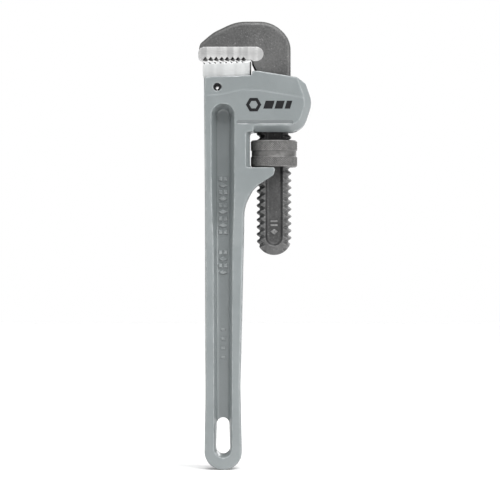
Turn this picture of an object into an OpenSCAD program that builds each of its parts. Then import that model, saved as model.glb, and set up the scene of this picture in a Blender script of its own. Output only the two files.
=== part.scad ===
// Pipe wrench with an aluminium I-section handle, a forged hook jaw on a threaded shank and a knurled nut.
// Upright: +Z runs up the handle, the jaws open towards -X, and Y is the thickness.
// The origin is the middle of the handle's lower end. The jaws are closed.

/* [Handle] */
// Length from the lower end of the handle to the seat of the nut
grip_l = 168.2; // [140:0.1:220]
// Width of the grip where it meets the housing
grip_w = 22; // [19:0.5:26]
// Narrowing of the grip at its waist, on the shank side
waist = 1.9; // [0:0.1:3]
// Thickness of the grip over its two flanges
grip_t = 18; // [15:0.5:24]
// Thickness of the web between the two channels
web_t = 6; // [4:0.5:9]
// Width of the channel's floor at its upper end
channel_floor_w = 7.6; // [6:0.1:9]
// Width of the channel's floor at its lower end
channel_end_w = 6.4; // [5:0.1:8]
// Widening of the channel wall for each millimetre of its depth
channel_draft = 0.27; // [0.1:0.01:0.3]
// Radius of the corners at the lower end
end_r = 10.2; // [4:0.1:10.2]

/* [Hang slot] */
// Width of the slot at its lower end
hang_w = 7.6; // [5:0.1:8]
// Width of the slot at its upper end
hang_top_w = 6.8; // [5:0.1:8]
// Length of the slot
hang_l = 20.4; // [12:0.1:40]
// Metal left below the slot
hang_end = 8.6; // [7:0.1:14]

/* [Housing] */
// Thickness of the housing
head_t = 25; // [21:0.1:34]
// Distance from the handle's centre line to the front of the housing
head_front = 10.6; // [10:0.1:14]
// Height of the nut window
window_h = 19.5; // [18:0.1:30]
// Height from the top of the window to the deck under the heel jaw
head_h = 30.7; // [29:0.1:44]
// Metal between the shank slot and the back of the housing
back_wall = 7.6; // [6:0.1:12]
// Width of the slope round the back of the housing, on each face
slope_w = 3.8; // [1:0.1:5]
// Depth of that slope
slope_d = 4.6; // [1:0.1:6]
// Reach of the lower guide past the shank's axis
guide_over = 0.6; // [-1:0.1:2]
// Chamfer on the window's front wall, at each face
window_chamfer = 2.4; // [0.5:0.1:3]
// Clearance on each side of the shank in its slot
slot_clear = 0.4; // [0.2:0.05:0.8]

/* [Hook jaw] */
// Thickness of the hook and its shank
hook_t = 13; // [10.5:0.1:16]
// Height of the hook above the toothed strip
hook_h = 14.1; // [11:0.1:22]
// Distance that the hook's tip stands out past the heel jaw
tip_over = 2.5; // [1:0.1:3]
// Travel of the hook jaw, which also sets the length of the shank
travel = 48; // [25:1:60]
// Most that the hook jaw rocks back, in degrees
rock = 3.5; // [1:0.1:4]

/* [Thread] */
// Outside diameter of the thread
thread_d = 19.4; // [16:0.1:21]
// Pitch of the thread
pitch = 4; // [3:0.5:5]
// Depth of the thread
thread_depth = 1.7; // [1.2:0.1:2]
// Width of the thread's groove at its bottom
root_w = 1; // [0.6:0.1:1.4]

/* [Adjusting nut] */
// Outside diameter of the nut
nut_d = 26; // [24.5:0.1:32]
// Height of the nut
nut_h = 14.9; // [12:0.1:16]
// Gap between the nut and its seat
nut_gap = 0.3; // [0.2:0.1:2]
// Radial clearance between the nut's thread and the shank's
nut_clear = 0.3; // [0.2:0.05:0.5]

/* [Jaw teeth] */
// Pitch of the teeth
tooth_pitch = 3.03; // [2.5:0.01:3.1]
// Depth of the teeth
tooth_depth = 1.7; // [1:0.1:2]
// Angle at which the teeth run across the jaws, in degrees
tooth_lean = 9.5; // [0:0.5:10]
// Height of the toothed strip in the hook
strip_h = 7.4; // [6.5:0.1:10]
// Height of the heel jaw above the deck, at the shank side
heel_h = 8.6; // [6:0.1:14]
// Thickness of the heel jaw
heel_t = 17; // [16:0.5:20]
// Width of the heel jaw
heel_w = 27; // [26:0.1:28]
// Height of the chamfer along the heel jaw's teeth
heel_chamfer = 1.1; // [0.5:0.1:1.5]
// Thickness of the heel jaw's tang
tang_t = 10; // [7:0.5:11]
// Gap between the closed jaws at the shank side
jaw_gap = 0.2; // [0.1:0.1:1]

/* [Pins and springs] */
// Diameter of the heel jaw's pin
pin_d = 4.3; // [3:0.1:5]
// Wall of the heel jaw's pin
pin_wall = 1; // [0.6:0.1:1.2]
// Thickness of the leaf spring
leaf_t = 0.7; // [0.5:0.1:1]
// Length of the leaf spring
leaf_l = 25; // [16:1:27]
// Wire diameter of the coil spring
wire_d = 0.8; // [0.6:0.1:1]
// Outside diameter of the coil spring
coil_d = 5.8; // [5:0.1:6.4]

/* [Hidden] */

arc_step = 6;            // degrees of turn for each edge of a rounded corner
fine = 96;
over = 1;                // how far a cutter runs past the face that it cuts
fit = 0.01;              // radial gap of pieces that are pressed together
play_clear = 0.6;        // left behind the shank when the hook jaw is rocked right back
nut_space = 0.4;         // between the nut and the window's front wall
throat_gap = 0.4;        // between the heel jaw and the hook's throat

heel_front = -head_front - 0.7;
heel_back = heel_front + heel_w;
crest_r = thread_d / 2;
root_r = crest_r - thread_depth;
heel_to_shank = 3;
axis_x = heel_back + heel_to_shank + crest_r;      // the shank's axis, from the handle's centre line
shank_front = axis_x - crest_r;
shank_back = axis_x + crest_r;

seat_z = grip_l;
window_z = seat_z + window_h;
deck_z = window_z + head_h;
nut_z = seat_z + nut_gap;
pivot_z = nut_z + nut_h / 2;               // the hook jaw rocks about the nut's middle

deck_slope = 0.03;       // rise of the deck for each millimetre towards the shank
heel_slope = 0.036;      // the same for the heel jaw's teeth
deck_back_z = deck_z + deck_slope * heel_w;
heel_top_z = deck_back_z + heel_h;
face_z = heel_top_z + jaw_gap;
strip_z = face_z + strip_h;
hook_z = strip_z + hook_h;
tip_x = heel_front - tip_over;

back_play = tan(rock) * (deck_z - pivot_z) + play_clear;
leaf_gap = 0.2;          // between the leaf spring and the shank
slot_space = 0.6;        // between the leaf spring and its slot
slot_front = shank_front - leaf_gap - leaf_t - slot_space;
slot_back = shank_back + back_play;
slot_w = hook_t + 2 * slot_clear;
back_x = slot_back + back_wall;
window_x = axis_x - nut_d / 2 - nut_space;
guide_tip = axis_x + guide_over;
fork_space = 3.7;        // between the shank and the root of the fork below the nut
fork_front = shank_front - fork_space;

// corners of the housing's back, from the top down: [x, z, radius]
top_corner = [back_x - 2.9, deck_z - 3.6, 2.5];
side_corner = [back_x + 0.8, deck_z - 14.2, 12];
low_corner = [back_x - 4.6, window_z, 10];

hang_z = hang_end + hang_w / 2;
channel_end_z = 11.5;
channel_top_z = window_z + 9.4;
tang_front = heel_front + 3.8;
tang_w = 19;
tang_z = deck_z - 12.8;
tang_clear = 0.15;
pin_x = -3.2;
pin_z = deck_z - 5.7;
leaf_z = window_z + 3;
leaf_w = 9;
leaf_x = shank_front - leaf_gap - leaf_t;
rivet_d = 2.4;
coil_z = window_z + 9.3;
coil_bed = slot_front - 7.8;

function unit(v) = v / norm(v);
function flat(p) = [p[0], p[1]];

// The points of one corner: b is [x, z, radius], a and c are its neighbours
function corner(a, b, c) =
    b[2] == 0 ? [flat(b)] :
    let (
        u = unit(flat(a) - flat(b)),
        v = unit(flat(c) - flat(b)),
        half = acos(u * v) / 2,
        mid = flat(b) + unit(u + v) * b[2] / sin(half),
        first = flat(b) + u * b[2] / tan(half) - mid,
        last = flat(b) + v * b[2] / tan(half) - mid,
        start = atan2(first[1], first[0]),
        turn = (atan2(last[1], last[0]) - start + 540) % 360 - 180,
        steps = max(1, ceil(abs(turn) / arc_step))
    )
    [for (k = [0 : steps]) mid + b[2] * [cos(start + turn * k / steps), sin(start + turn * k / steps)]];

// A closed outline from corners [x, z, radius]
function outline(pts) = [
    for (i = [0 : len(pts) - 1])
        each corner(pts[(i + len(pts) - 1) % len(pts)], pts[i], pts[(i + 1) % len(pts)])
];

// An outline in X and Z, made t thick about the middle plane
module plate(t) {
    rotate([90, 0, 0]) linear_extrude(t, center = true) children();
}

// A box from its low corner to its high corner
module block(low, high) {
    translate(low) cube(high - low);
}

// A round bar along Y, through the whole housing
module cross_bore(x, z, d) {
    translate([x, 0, z])
        rotate([90, 0, 0]) cylinder(h = head_t + 2 * over, d = d, center = true, $fn = fine);
}

// Silhouette of the handle and its housing
module handle_outline() {
    back = grip_w - head_front;
    lip = 2.4;                             // height of the lip behind the heel jaw
    polygon(outline([
        [-head_front + 0.1, 0, end_r],
        [-head_front + 0.75, 40, 150],
        [-head_front + 0.55, grip_l - 18, 200],
        [-head_front, deck_z, 0.8],
        [heel_back + throat_gap, deck_back_z, 0],
        [heel_back + throat_gap + 0.1, deck_back_z + lip, 0.4],
        [heel_back + 4.2, deck_back_z + lip, 4],
        [back_x - 7.8, deck_z - 0.2, 1.5],
        top_corner,
        side_corner,
        low_corner,
        [window_x, window_z, 1.5],
        [window_x, seat_z, 1.5],
        [guide_tip + 0.3, seat_z, 1.2],
        [guide_tip - 0.9, seat_z - 4.4, 1.6],
        [window_x + 2.2, seat_z - 11.4, 12],
        [back + 0.5, seat_z - 22, 20],
        [back + 0.4, seat_z - 33, 60],
        [back - waist + 0.3, 46, 60],
        [back - 0.6, 0, end_r]
    ]));
}

// Side view of the handle, in Y and Z: thick at the housing, slim at the grip
module side_profile() {
    top = deck_z + 10;
    thin = grip_t / 2;
    thick = head_t / 2;
    foot_taper = 0.8;
    polygon([
        [-thin + foot_taper, -over], [thin - foot_taper, -over],
        [thin, 14], [thin, seat_z - 44],
        [thick - 0.5, seat_z - 22], [thick, seat_z - 14],
        [thick, top], [-thick, top],
        [-thick, seat_z - 14], [-thick + 0.5, seat_z - 22],
        [-thin, seat_z - 44], [-thin, 14]
    ]);
}

// The long channel in one face: drafted walls, round ends, and a little narrower at the lower end
module channel(side) {
    deep = head_t / 2 + over - web_t / 2;
    low_r = channel_end_w / 2;
    top_r = channel_floor_w / 2;
    spread = channel_draft * deep;
    y0 = side * web_t / 2;
    y1 = side * (head_t / 2 + over);
    ends = [[channel_end_z, low_r], [channel_top_z, top_r]];
    points = [
        for (e = ends)
            each [
                [-e[1], y0, e[0]], [e[1], y0, e[0]],
                [e[1] + spread, y1, e[0]], [-e[1] - spread, y1, e[0]]
            ]
    ];
    walls = [[0, 1, 2, 3], [0, 4, 5, 1], [1, 5, 6, 2], [2, 6, 7, 3], [3, 7, 4, 0], [7, 6, 5, 4]];
    polyhedron(points = points, faces = side < 0 ? [for (w = walls) [w[3], w[2], w[1], w[0]]] : walls);
    for (e = ends)
        translate([0, y0, e[0]])
            rotate([-side * 90, 0, 0]) cylinder(h = deep, r1 = e[1], r2 = e[1] + spread, $fn = fine);
}

// Slot through the web to hang the wrench by, a little narrower at its upper end
module hang_slot() {
    top_z = hang_end + hang_l - hang_top_w / 2;
    plate(head_t + 2 * over) {
        translate([0, hang_z]) circle(d = hang_w, $fn = fine);
        translate([0, top_z]) circle(d = hang_top_w, $fn = fine);
        polygon([
            [-hang_w / 2, hang_z], [hang_w / 2, hang_z],
            [hang_top_w / 2, top_z], [-hang_top_w / 2, top_z]
        ]);
    }
}

// Shallow groove in one face, above the window's rim
module rim_groove(side) {
    groove_d = 2.2;
    groove_deep = 0.4;
    groove_x = [window_x - 6.4, back_x - 11];
    mid_z = window_z + 5.5;
    for (x = groove_x)
        translate([x, side * head_t / 2, mid_z])
            rotate([90, 0, 0]) cylinder(h = 2 * groove_deep, d = groove_d, center = true, $fn = fine);
    block(
        [groove_x[0], side * head_t / 2 - groove_deep, mid_z - groove_d / 2],
        [groove_x[1], side * head_t / 2 + groove_deep, mid_z + groove_d / 2]
    );
}

// The housing's upper face, left a little lower than the face below it
module upper_step(side) {
    step_deep = 0.3;
    translate([0, side * head_t / 2, 0])
        plate(2 * step_deep)
            polygon([
                [-head_front - over, deck_z - 10.6], [-2, deck_z - 10.2], [11, deck_z - 7.4],
                [back_x - 28, deck_z - 7.9], [back_x + over, deck_z - 12.6],
                [back_x + over, deck_z + 5], [-head_front - over, deck_z + 5]
            ]);
}

// Cutter that leaves a slope from the front face to the housing's back and lower edges
module back_slope() {
    far = 50;
    mid = [back_x - 16, window_z + 15.5];
    lean = (side_corner[0] - top_corner[0]) / (top_corner[1] - side_corner[1]);
    shrink = slope_w / (back_x - mid[0]);
    deep = slope_d + over;
    base = 1.003;
    difference() {
        block(
            [window_x + window_chamfer - 0.4, -head_t / 2 - 0.7 * over, window_z - over],
            [back_x + 2, slope_d - head_t / 2 - 0.05, deck_z + 5]
        );
        translate([mid[0], slope_d - head_t / 2, mid[1]])
            rotate([90, 0, 0])
                linear_extrude(deep, scale = 1 - shrink * deep / slope_d)
                    scale([base, base])
                        translate(-mid)
                            polygon(outline([
                                [-far, window_z, 0], [-far, top_corner[1] + far, 0],
                                [top_corner[0] - lean * far, top_corner[1] + far, 0],
                                side_corner, low_corner
                            ]));
    }
}

// Chamfer on the window's front wall, at one face
module wall_chamfer(side) {
    chamfer_deep = 3.4;
    y1 = side * (head_t / 2 + over);
    translate([0, 0, seat_z])
        linear_extrude(window_h)
            polygon([
                [window_x - window_chamfer, side * head_t / 2], [window_x - window_chamfer, y1],
                [window_x + over, y1], [window_x + over, side * (head_t / 2 - chamfer_deep)],
                [window_x, side * (head_t / 2 - chamfer_deep)]
            ]);
}

module handle_body() {
    color([0.60, 0.63, 0.64])
        difference() {
            intersection() {
                plate(head_t + 2 * over) handle_outline();
                rotate([90, 0, 90])
                    translate([0, 0, -head_front - over])
                        linear_extrude(back_x + head_front + 3 * over) side_profile();
            }
            for (side = [-1, 1]) {
                channel(side);
                rim_groove(side);
                upper_step(side);
                wall_chamfer(side);
            }
            back_slope();
            mirror([0, 1, 0]) back_slope();
            hang_slot();
            // slot for the shank, and the fork below the nut
            block([slot_front, -slot_w / 2, window_z - over], [slot_back, slot_w / 2, deck_z + 9]);
            block([fork_front, -slot_w / 2, seat_z - 40], [guide_tip + 2, slot_w / 2, seat_z + over]);
            // pocket for the heel jaw's tang, and its pin
            block(
                [tang_front - tang_clear, -tang_t / 2 - tang_clear, tang_z - 0.3],
                [tang_front + tang_w + tang_clear, tang_t / 2 + tang_clear, deck_z + 5]
            );
            cross_bore(pin_x, pin_z, pin_d);
            // blind bed for the coil spring
            translate([coil_bed, 0, coil_z])
                rotate([0, 90, 0]) cylinder(h = slot_front - coil_bed + over, d = coil_d + 1, $fn = fine);
        }
}

// Gullets between the teeth, cut across a jaw; x0 and z0 place the first one on the jaw's -Y face
module gullets(count, x0, z0, rise, depth, thick) {
    half = 0.43 * tooth_pitch * (1 + over / depth);
    for (i = [0 : count - 1])
        translate([
            x0 + tooth_pitch * i + thick / 2 * tan(tooth_lean),
            0,
            z0 + rise * tooth_pitch * i
        ])
            rotate([0, 0, -tooth_lean])
                plate(2 * thick)
                    polygon([[-half, -over], [half, -over], [0, depth]]);
}
gullet_n = 8;

module heel_jaw() {
    tilt = atan(heel_slope);
    low_z = heel_top_z - heel_slope * heel_w;          // height of the teeth at the front
    first = heel_front + 0.9;
    chamfer_w = 1.6;
    side_cut = 0.85;
    color([0.80, 0.81, 0.82])
        difference() {
            union() {
                plate(heel_t)
                    polygon([
                        [heel_back, deck_back_z], [heel_front + 0.5, deck_z + 0.01],
                        [heel_front, deck_z + 0.6], [heel_front, low_z - 0.6],
                        [heel_front + 0.3, low_z], [heel_back, heel_top_z]
                    ]);
                block(
                    [tang_front, -tang_t / 2, tang_z],
                    [tang_front + tang_w, tang_t / 2, deck_z + 2]
                );
            }
            translate([0, 0, low_z])
                mirror([0, 0, 1])
                    gullets(
                        gullet_n, first, -heel_slope * (first - heel_front), -heel_slope,
                        0.8 * tooth_depth, heel_t
                    );
            for (side = [-1, 1]) {
                // chamfer along the teeth
                translate([heel_back, 0, heel_top_z])
                    rotate([0, -tilt, 0])
                        translate([-heel_w - 2, 0, 0])
                            rotate([90, 0, 90])
                                linear_extrude(heel_w + 4)
                                    polygon([
                                        [side * heel_t / 2, -heel_chamfer],
                                        [side * (heel_t / 2 + over), -heel_chamfer],
                                        [side * (heel_t / 2 + over), over],
                                        [side * (heel_t / 2 - chamfer_w), over],
                                        [side * (heel_t / 2 - chamfer_w), 0]
                                    ]);
                // chamfer on the end at the shank
                translate([0, 0, deck_z])
                    linear_extrude(heel_h + 4)
                        polygon([
                            [heel_back - side_cut, side * heel_t / 2],
                            [heel_back - side_cut, side * (heel_t / 2 + over)],
                            [heel_back + over, side * (heel_t / 2 + over)],
                            [heel_back + over, side * (heel_t / 2 - side_cut)],
                            [heel_back, side * (heel_t / 2 - side_cut)]
                        ]);
            }
            cross_bore(pin_x, pin_z, pin_d);
        }
}

// Rolled spring pin, open along one side
module heel_jaw_pin() {
    pin_l = head_t - 1.1;
    gap = 0.3;
    color([0.12, 0.12, 0.13])
        translate([pin_x, 0, pin_z])
            difference() {
                rotate([90, 0, 0]) cylinder(h = pin_l, r = pin_d / 2 - fit, center = true, $fn = fine);
                rotate([90, 0, 0])
                    cylinder(h = pin_l + over, r = pin_d / 2 - pin_wall, center = true, $fn = fine);
                block([-gap / 2, -pin_l, -pin_d], [gap / 2, pin_l, 0]);
            }
}

// Outline of the strip that is set in the hook
module strip_outline() {
    end_rad = (strip_h + 0.7) / 2;
    end_x = shank_front - 0.2;
    end_z = strip_z - end_rad;
    polygon(concat(
        corner([0, strip_z], [tip_x, strip_z, 3.6], [tip_x, face_z]),
        corner([tip_x, strip_z], [tip_x, face_z, 2], [0, face_z]),
        [[heel_back + throat_gap, face_z], [heel_back + throat_gap, face_z - 0.7]],
        [for (a = [-90 : arc_step : 90]) [end_x + end_rad * cos(a), end_z + end_rad * sin(a)]]
    ));
}

module hook_jaw_insert() {
    color([0.78, 0.78, 0.78])
        difference() {
            plate(hook_t) strip_outline();
            gullets(gullet_n, heel_front + 1.4, face_z, 0, tooth_depth, hook_t);
        }
}

// Half rings that cut the thread's grooves into one edge of the shank
module thread_grooves(side, bottom, top) {
    lead = atan(pitch / (PI * (crest_r + root_r)));
    flank = 0.62;
    lip = 0.6;
    half_root = root_w / 2;
    half_mouth = half_root + flank * (thread_depth + lip);
    for (z = [bottom - (side < 0 ? pitch / 2 : 0) : pitch : top])
        translate([0, 0, z])
            rotate([side * lead, 0, 0])
                rotate([0, 0, side > 0 ? -60 : 120])
                    rotate_extrude(angle = 120, $fn = fine)
                        polygon([
                            [root_r, -half_root], [crest_r + lip, -half_mouth],
                            [crest_r + lip, half_mouth], [root_r, half_root]
                        ]);
}

shank_tail = 0.7;                          // left below the nut when the jaws are fully open
shank_end_z = seat_z - travel - shank_tail;
groove_z = seat_z + 2.9;                   // height of one groove on the back of the shank
grooves_below = floor((groove_z - shank_end_z - 1) / pitch);
grooves_above = floor((window_z + 13 - groove_z) / pitch);
shoulder_z = deck_z - 6;

// Shallow drafted recess along one face of the shank
module shank_recess(side) {
    mouth = 5;
    bed = 3.5;
    deep = 1.7;
    low = shank_end_z + 10;
    y0 = side * (hook_t / 2 - deep);
    y1 = side * (hook_t / 2 + over);
    spread = bed + (mouth - bed) * (deep + over) / deep;
    translate([0, 0, low])
        linear_extrude(shoulder_z - low - 6)
            polygon([[-bed, y0], [bed, y0], [spread, y1], [-spread, y1]]);
    for (z = [low, shoulder_z - 6])
        translate([0, y0, z])
            rotate([-side * 90, 0, 0]) cylinder(h = deep + over, r1 = bed, r2 = spread, $fn = fine);
}

module shank() {
    difference() {
        intersection() {
            translate([0, 0, shank_end_z]) cylinder(h = shoulder_z - shank_end_z + 2, r = crest_r, $fn = fine);
            plate(hook_t)
                polygon(outline([
                    [-crest_r, shank_end_z, crest_r - 0.1], [crest_r, shank_end_z, crest_r - 0.1],
                    [crest_r, shoulder_z + 3, 0], [-crest_r, shoulder_z + 3, 0]
                ]));
        }
        for (side = [-1, 1]) {
            thread_grooves(side, groove_z - grooves_below * pitch, groove_z + grooves_above * pitch);
            shank_recess(side);
        }
    }
}

module hook_outline() {
    throat_x = heel_back + throat_gap;
    back = shank_back - 0.4;
    polygon(outline([
        [back, shoulder_z, 0],
        [back, hook_z - 10.5, 14],
        [back - 9.4, hook_z, 18],
        [back - 30.4, hook_z, 24],
        [tip_x + 8.3, hook_z - 6.1, 20],
        [tip_x + 1, strip_z + 1.8, 3],
        [tip_x + 0.1, strip_z - 2.6, 0],
        [throat_x, face_z + 2, 0],
        [throat_x, face_z - 2, 0.5],
        [shank_front, face_z - 7.7, 3],
        [shank_front, shoulder_z, 0]
    ]));
}

module hook_jaw() {
    color([0.42, 0.42, 0.42]) {
        difference() {
            union() {
                plate(hook_t) hook_outline();
                translate([axis_x, 0, 0]) shank();
            }
            plate(hook_t + 2 * over) strip_outline();
        }
    }
}

// Ridge of the nut's thread, swept along its helix
module nut_thread() {
    seg = 36;
    seat_r = crest_r + nut_clear;
    top_r = root_r + nut_clear;
    flank = 0.62;
    half_top = root_w / 2 + flank * nut_clear - 0.22;
    half_seat = half_top + flank * (seat_r + 0.2 - top_r);
    section = [
        [seat_r + 0.2, -half_seat], [top_r, -half_top], [top_r, half_top], [seat_r + 0.2, half_seat]
    ];
    low = nut_z + half_seat + 0.6;
    first = ceil((low - groove_z) / pitch * seg);
    last = floor((nut_z + nut_h - half_seat - 0.6 - groove_z) / pitch * seg);
    count = last - first;
    points = [
        for (k = [first : last])
            let (a = 360 * k / seg, z = groove_z + pitch * k / seg)
            each [for (s = section) [s[0] * cos(a), s[0] * sin(a), z + s[1]]]
    ];
    polyhedron(
        points = points,
        faces = concat(
            [[0, 1, 2, 3]],
            [for (k = [0 : count - 1], j = [0 : 3])
                [4 * k + j, 4 * k + 4 + j, 4 * k + 4 + (j + 1) % 4, 4 * k + (j + 1) % 4]],
            [[4 * count + 3, 4 * count + 2, 4 * count + 1, 4 * count]]
        ),
        convexity = 6
    );
}

module adjusting_nut() {
    r = nut_d / 2;
    seat_r = crest_r + nut_clear;
    bevel = 0.8;
    groove = 3;
    groove_deep = 0.5;
    mid = nut_h / 2;
    color([0.46, 0.45, 0.44])
        translate([axis_x, 0, 0]) {
            translate([0, 0, nut_z])
                rotate_extrude($fn = fine)
                    polygon([
                        [seat_r + bevel, 0], [r - bevel, 0], [r, bevel], [r, mid - groove / 2 - groove_deep],
                        [r - groove_deep, mid - groove / 2], [r - groove_deep, mid + groove / 2],
                        [r, mid + groove / 2 + groove_deep], [r, nut_h - bevel], [r - bevel, nut_h],
                        [seat_r + bevel, nut_h], [seat_r, nut_h - bevel], [seat_r, bevel]
                    ]);
            nut_thread();
        }
}

// Leaf with its two ends turned away from the shank
module flat_spring() {
    toe = 0.35;
    color([0.55, 0.56, 0.58])
        difference() {
            plate(leaf_w)
                polygon([
                    [leaf_x, leaf_z + 3], [leaf_x - toe, leaf_z], [leaf_x - toe + leaf_t, leaf_z],
                    [leaf_x + leaf_t, leaf_z + 3], [leaf_x + leaf_t, leaf_z + leaf_l - 3],
                    [leaf_x - toe + leaf_t, leaf_z + leaf_l], [leaf_x - toe, leaf_z + leaf_l],
                    [leaf_x, leaf_z + leaf_l - 3]
                ]);
            translate([leaf_x - over, 0, coil_z])
                rotate([0, 90, 0]) cylinder(h = leaf_t + 2 * over, d = rivet_d, $fn = fine);
        }
}

// Rivet that guides the coil spring behind the leaf
module spring_rivet() {
    rivet_l = 4.4;
    head_d = 3.4;
    head_h2 = 0.5;
    color([0.5, 0.5, 0.5])
        translate([leaf_x + leaf_t, 0, coil_z])
            rotate([0, -90, 0]) {
                cylinder(h = rivet_l, r = rivet_d / 2 - fit, $fn = fine);
                translate([0, 0, leaf_t]) cylinder(h = head_h2, d = head_d, $fn = fine);
            }
}

// Compression spring between the bed and the leaf
module coil_spring() {
    turns = 6;
    seg = 16;
    sides = 8;
    mean_r = (coil_d - wire_d) / 2;
    wire_r = wire_d / 2;
    length = leaf_x - coil_bed - wire_d - 0.7;
    count = turns * seg;
    points = [
        for (k = [0 : count])
            let (a = 360 * k / seg, x = coil_bed + wire_r + 0.05 + length * k / count)
            each [
                for (j = [0 : sides - 1])
                    let (b = 360 * j / sides, r = mean_r + wire_r * cos(b))
                    [x + wire_r * sin(b), r * cos(a), coil_z + r * sin(a)]
            ]
    ];
    color([0.62, 0.62, 0.64])
        polyhedron(
            points = points,
            faces = concat(
                [[for (j = [sides - 1 : -1 : 0]) j]],
                [for (k = [0 : count - 1], j = [0 : sides - 1])
                    [sides * k + j, sides * k + (j + 1) % sides,
                    sides * (k + 1) + (j + 1) % sides, sides * (k + 1) + j]],
                [[for (j = [0 : sides - 1]) sides * count + j]]
            ),
            convexity = 10
        );
}

handle_body();
heel_jaw();
heel_jaw_pin();
hook_jaw();
hook_jaw_insert();
adjusting_nut();
flat_spring();
coil_spring();
spring_rivet();
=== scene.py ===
import math

import bmesh
import bpy
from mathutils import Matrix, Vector


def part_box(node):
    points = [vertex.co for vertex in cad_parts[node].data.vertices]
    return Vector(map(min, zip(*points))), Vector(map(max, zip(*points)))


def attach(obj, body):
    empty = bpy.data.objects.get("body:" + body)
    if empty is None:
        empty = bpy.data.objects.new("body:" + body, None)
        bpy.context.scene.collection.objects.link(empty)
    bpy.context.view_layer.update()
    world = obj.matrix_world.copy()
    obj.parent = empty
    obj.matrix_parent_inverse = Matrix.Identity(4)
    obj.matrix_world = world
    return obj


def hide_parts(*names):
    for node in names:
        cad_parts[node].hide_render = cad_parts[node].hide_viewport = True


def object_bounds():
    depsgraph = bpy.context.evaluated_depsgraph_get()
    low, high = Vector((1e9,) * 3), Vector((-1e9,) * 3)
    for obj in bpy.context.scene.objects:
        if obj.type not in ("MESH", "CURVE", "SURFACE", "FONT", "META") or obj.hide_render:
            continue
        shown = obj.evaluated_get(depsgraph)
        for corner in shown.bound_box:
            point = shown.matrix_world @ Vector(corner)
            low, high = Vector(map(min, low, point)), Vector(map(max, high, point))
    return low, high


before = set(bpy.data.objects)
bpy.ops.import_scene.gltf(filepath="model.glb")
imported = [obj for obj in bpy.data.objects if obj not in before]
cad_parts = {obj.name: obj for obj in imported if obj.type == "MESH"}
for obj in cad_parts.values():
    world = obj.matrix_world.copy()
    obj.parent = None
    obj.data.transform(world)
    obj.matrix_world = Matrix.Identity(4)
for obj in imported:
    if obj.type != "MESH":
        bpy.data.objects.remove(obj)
cadLow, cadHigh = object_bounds()
mm = 0.001


def newObject(name, mesh):
    obj = bpy.data.objects.new(name, mesh)
    bpy.context.scene.collection.objects.link(obj)
    return obj


def copyNode(node, name):
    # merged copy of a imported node, with its split corners joined
    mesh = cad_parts[node].data.copy()
    mesh.name = name
    mesh.materials.clear()
    bm = bmesh.new()
    bm.from_mesh(mesh)
    bmesh.ops.remove_doubles(bm, verts=bm.verts, dist=0.000002)
    bmesh.ops.dissolve_limit(bm, angle_limit=math.radians(0.5), verts=bm.verts, edges=bm.edges)
    bm.to_mesh(mesh)
    bm.free()
    return newObject(name, mesh)


def objectFrom(bm, name):
    # closes a mesh in the making into a new object
    mesh = bpy.data.meshes.new(name)
    bm.to_mesh(mesh)
    bm.free()
    return newObject(name, mesh)


def addModifier(obj, kind, **values):
    mod = obj.modifiers.new(kind.title(), kind)
    for key, value in values.items():
        setattr(mod, key, value)
    return mod


def bake(obj):
    # turns the evaluated shape into the object's own plain mesh
    graph = bpy.context.evaluated_depsgraph_get()
    graph.update()
    mesh = bpy.data.meshes.new_from_object(obj.evaluated_get(graph))
    obj.modifiers.clear()
    old = obj.data
    obj.data = mesh
    mesh.name = obj.name
    bpy.data.meshes.remove(old)
    return obj


def shadeSmooth(obj, angle=None):
    mesh = obj.data
    mesh.shade_smooth()
    if angle is not None:
        mesh.set_sharp_from_angle(angle=math.radians(angle))


def soften(obj, voxel, rounds):
    # closes the surface into even cells, then rounds every edge by a little
    addModifier(obj, "REMESH", mode="VOXEL", voxel_size=voxel, adaptivity=0.0)
    addModifier(obj, "SMOOTH", factor=0.5, iterations=rounds)
    bake(obj)
    shadeSmooth(obj)


def smoothWhere(obj, weightOf, rounds):
    # rounds the shape where weightOf gives a weight, and leaves the rest alone
    group = obj.vertex_groups.new(name="round")
    for v in obj.data.vertices:
        w = weightOf(v.co)
        if w > 0.01:
            group.add([v.index], w, "REPLACE")
    addModifier(obj, "SMOOTH", factor=0.5, iterations=rounds, vertex_group="round")
    bake(obj)
    obj.vertex_groups.clear()
    shadeSmooth(obj)


def bevelEdges(obj, pick, width, segments):
    bm = bmesh.new()
    bm.from_mesh(obj.data)
    edges = [e for e in bm.edges if len(e.link_faces) == 2 and pick(e)]
    bmesh.ops.bevel(
        bm, geom=edges, offset=width, offset_type="OFFSET", segments=segments, profile=0.5,
        affect="EDGES", clamp_overlap=False,
    )
    bm.to_mesh(obj.data)
    bm.free()


def crispBevel(obj, width, segments=2, angle=30):
    addModifier(
        obj, "BEVEL", width=width, segments=segments, limit_method="ANGLE",
        angle_limit=math.radians(angle), harden_normals=False, use_clamp_overlap=True,
    )
    bake(obj)
    shadeSmooth(obj, 35)


def joinInto(obj, other):
    bm = bmesh.new()
    bm.from_mesh(obj.data)
    bm.from_mesh(other.data)
    bpy.data.objects.remove(other)
    bm.to_mesh(obj.data)
    bm.free()


def addNode(tree, kind, place, **values):
    node = tree.nodes.new(kind)
    node.location = place
    for key, value in values.items():
        setattr(node, key, value)
    return node


def newGroup(name, inputs, outputs):
    # a shader node group with named sockets; inputs are (name, type, default)
    tree = bpy.data.node_groups.new(name, "ShaderNodeTree")
    for label, kind, default in inputs:
        socket = tree.interface.new_socket(name=label, in_out="INPUT", socket_type=kind)
        socket.default_value = default
    for label, kind in outputs:
        tree.interface.new_socket(name=label, in_out="OUTPUT", socket_type=kind)
    source = addNode(tree, "NodeGroupInput", (-900, 0))
    sink = addNode(tree, "NodeGroupOutput", (700, 0))
    return tree, source, sink


def place(tree, group, at, **values):
    node = addNode(tree, "ShaderNodeGroup", at, node_tree=group)
    for key, value in values.items():
        node.inputs[key].default_value = value
    return node


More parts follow.
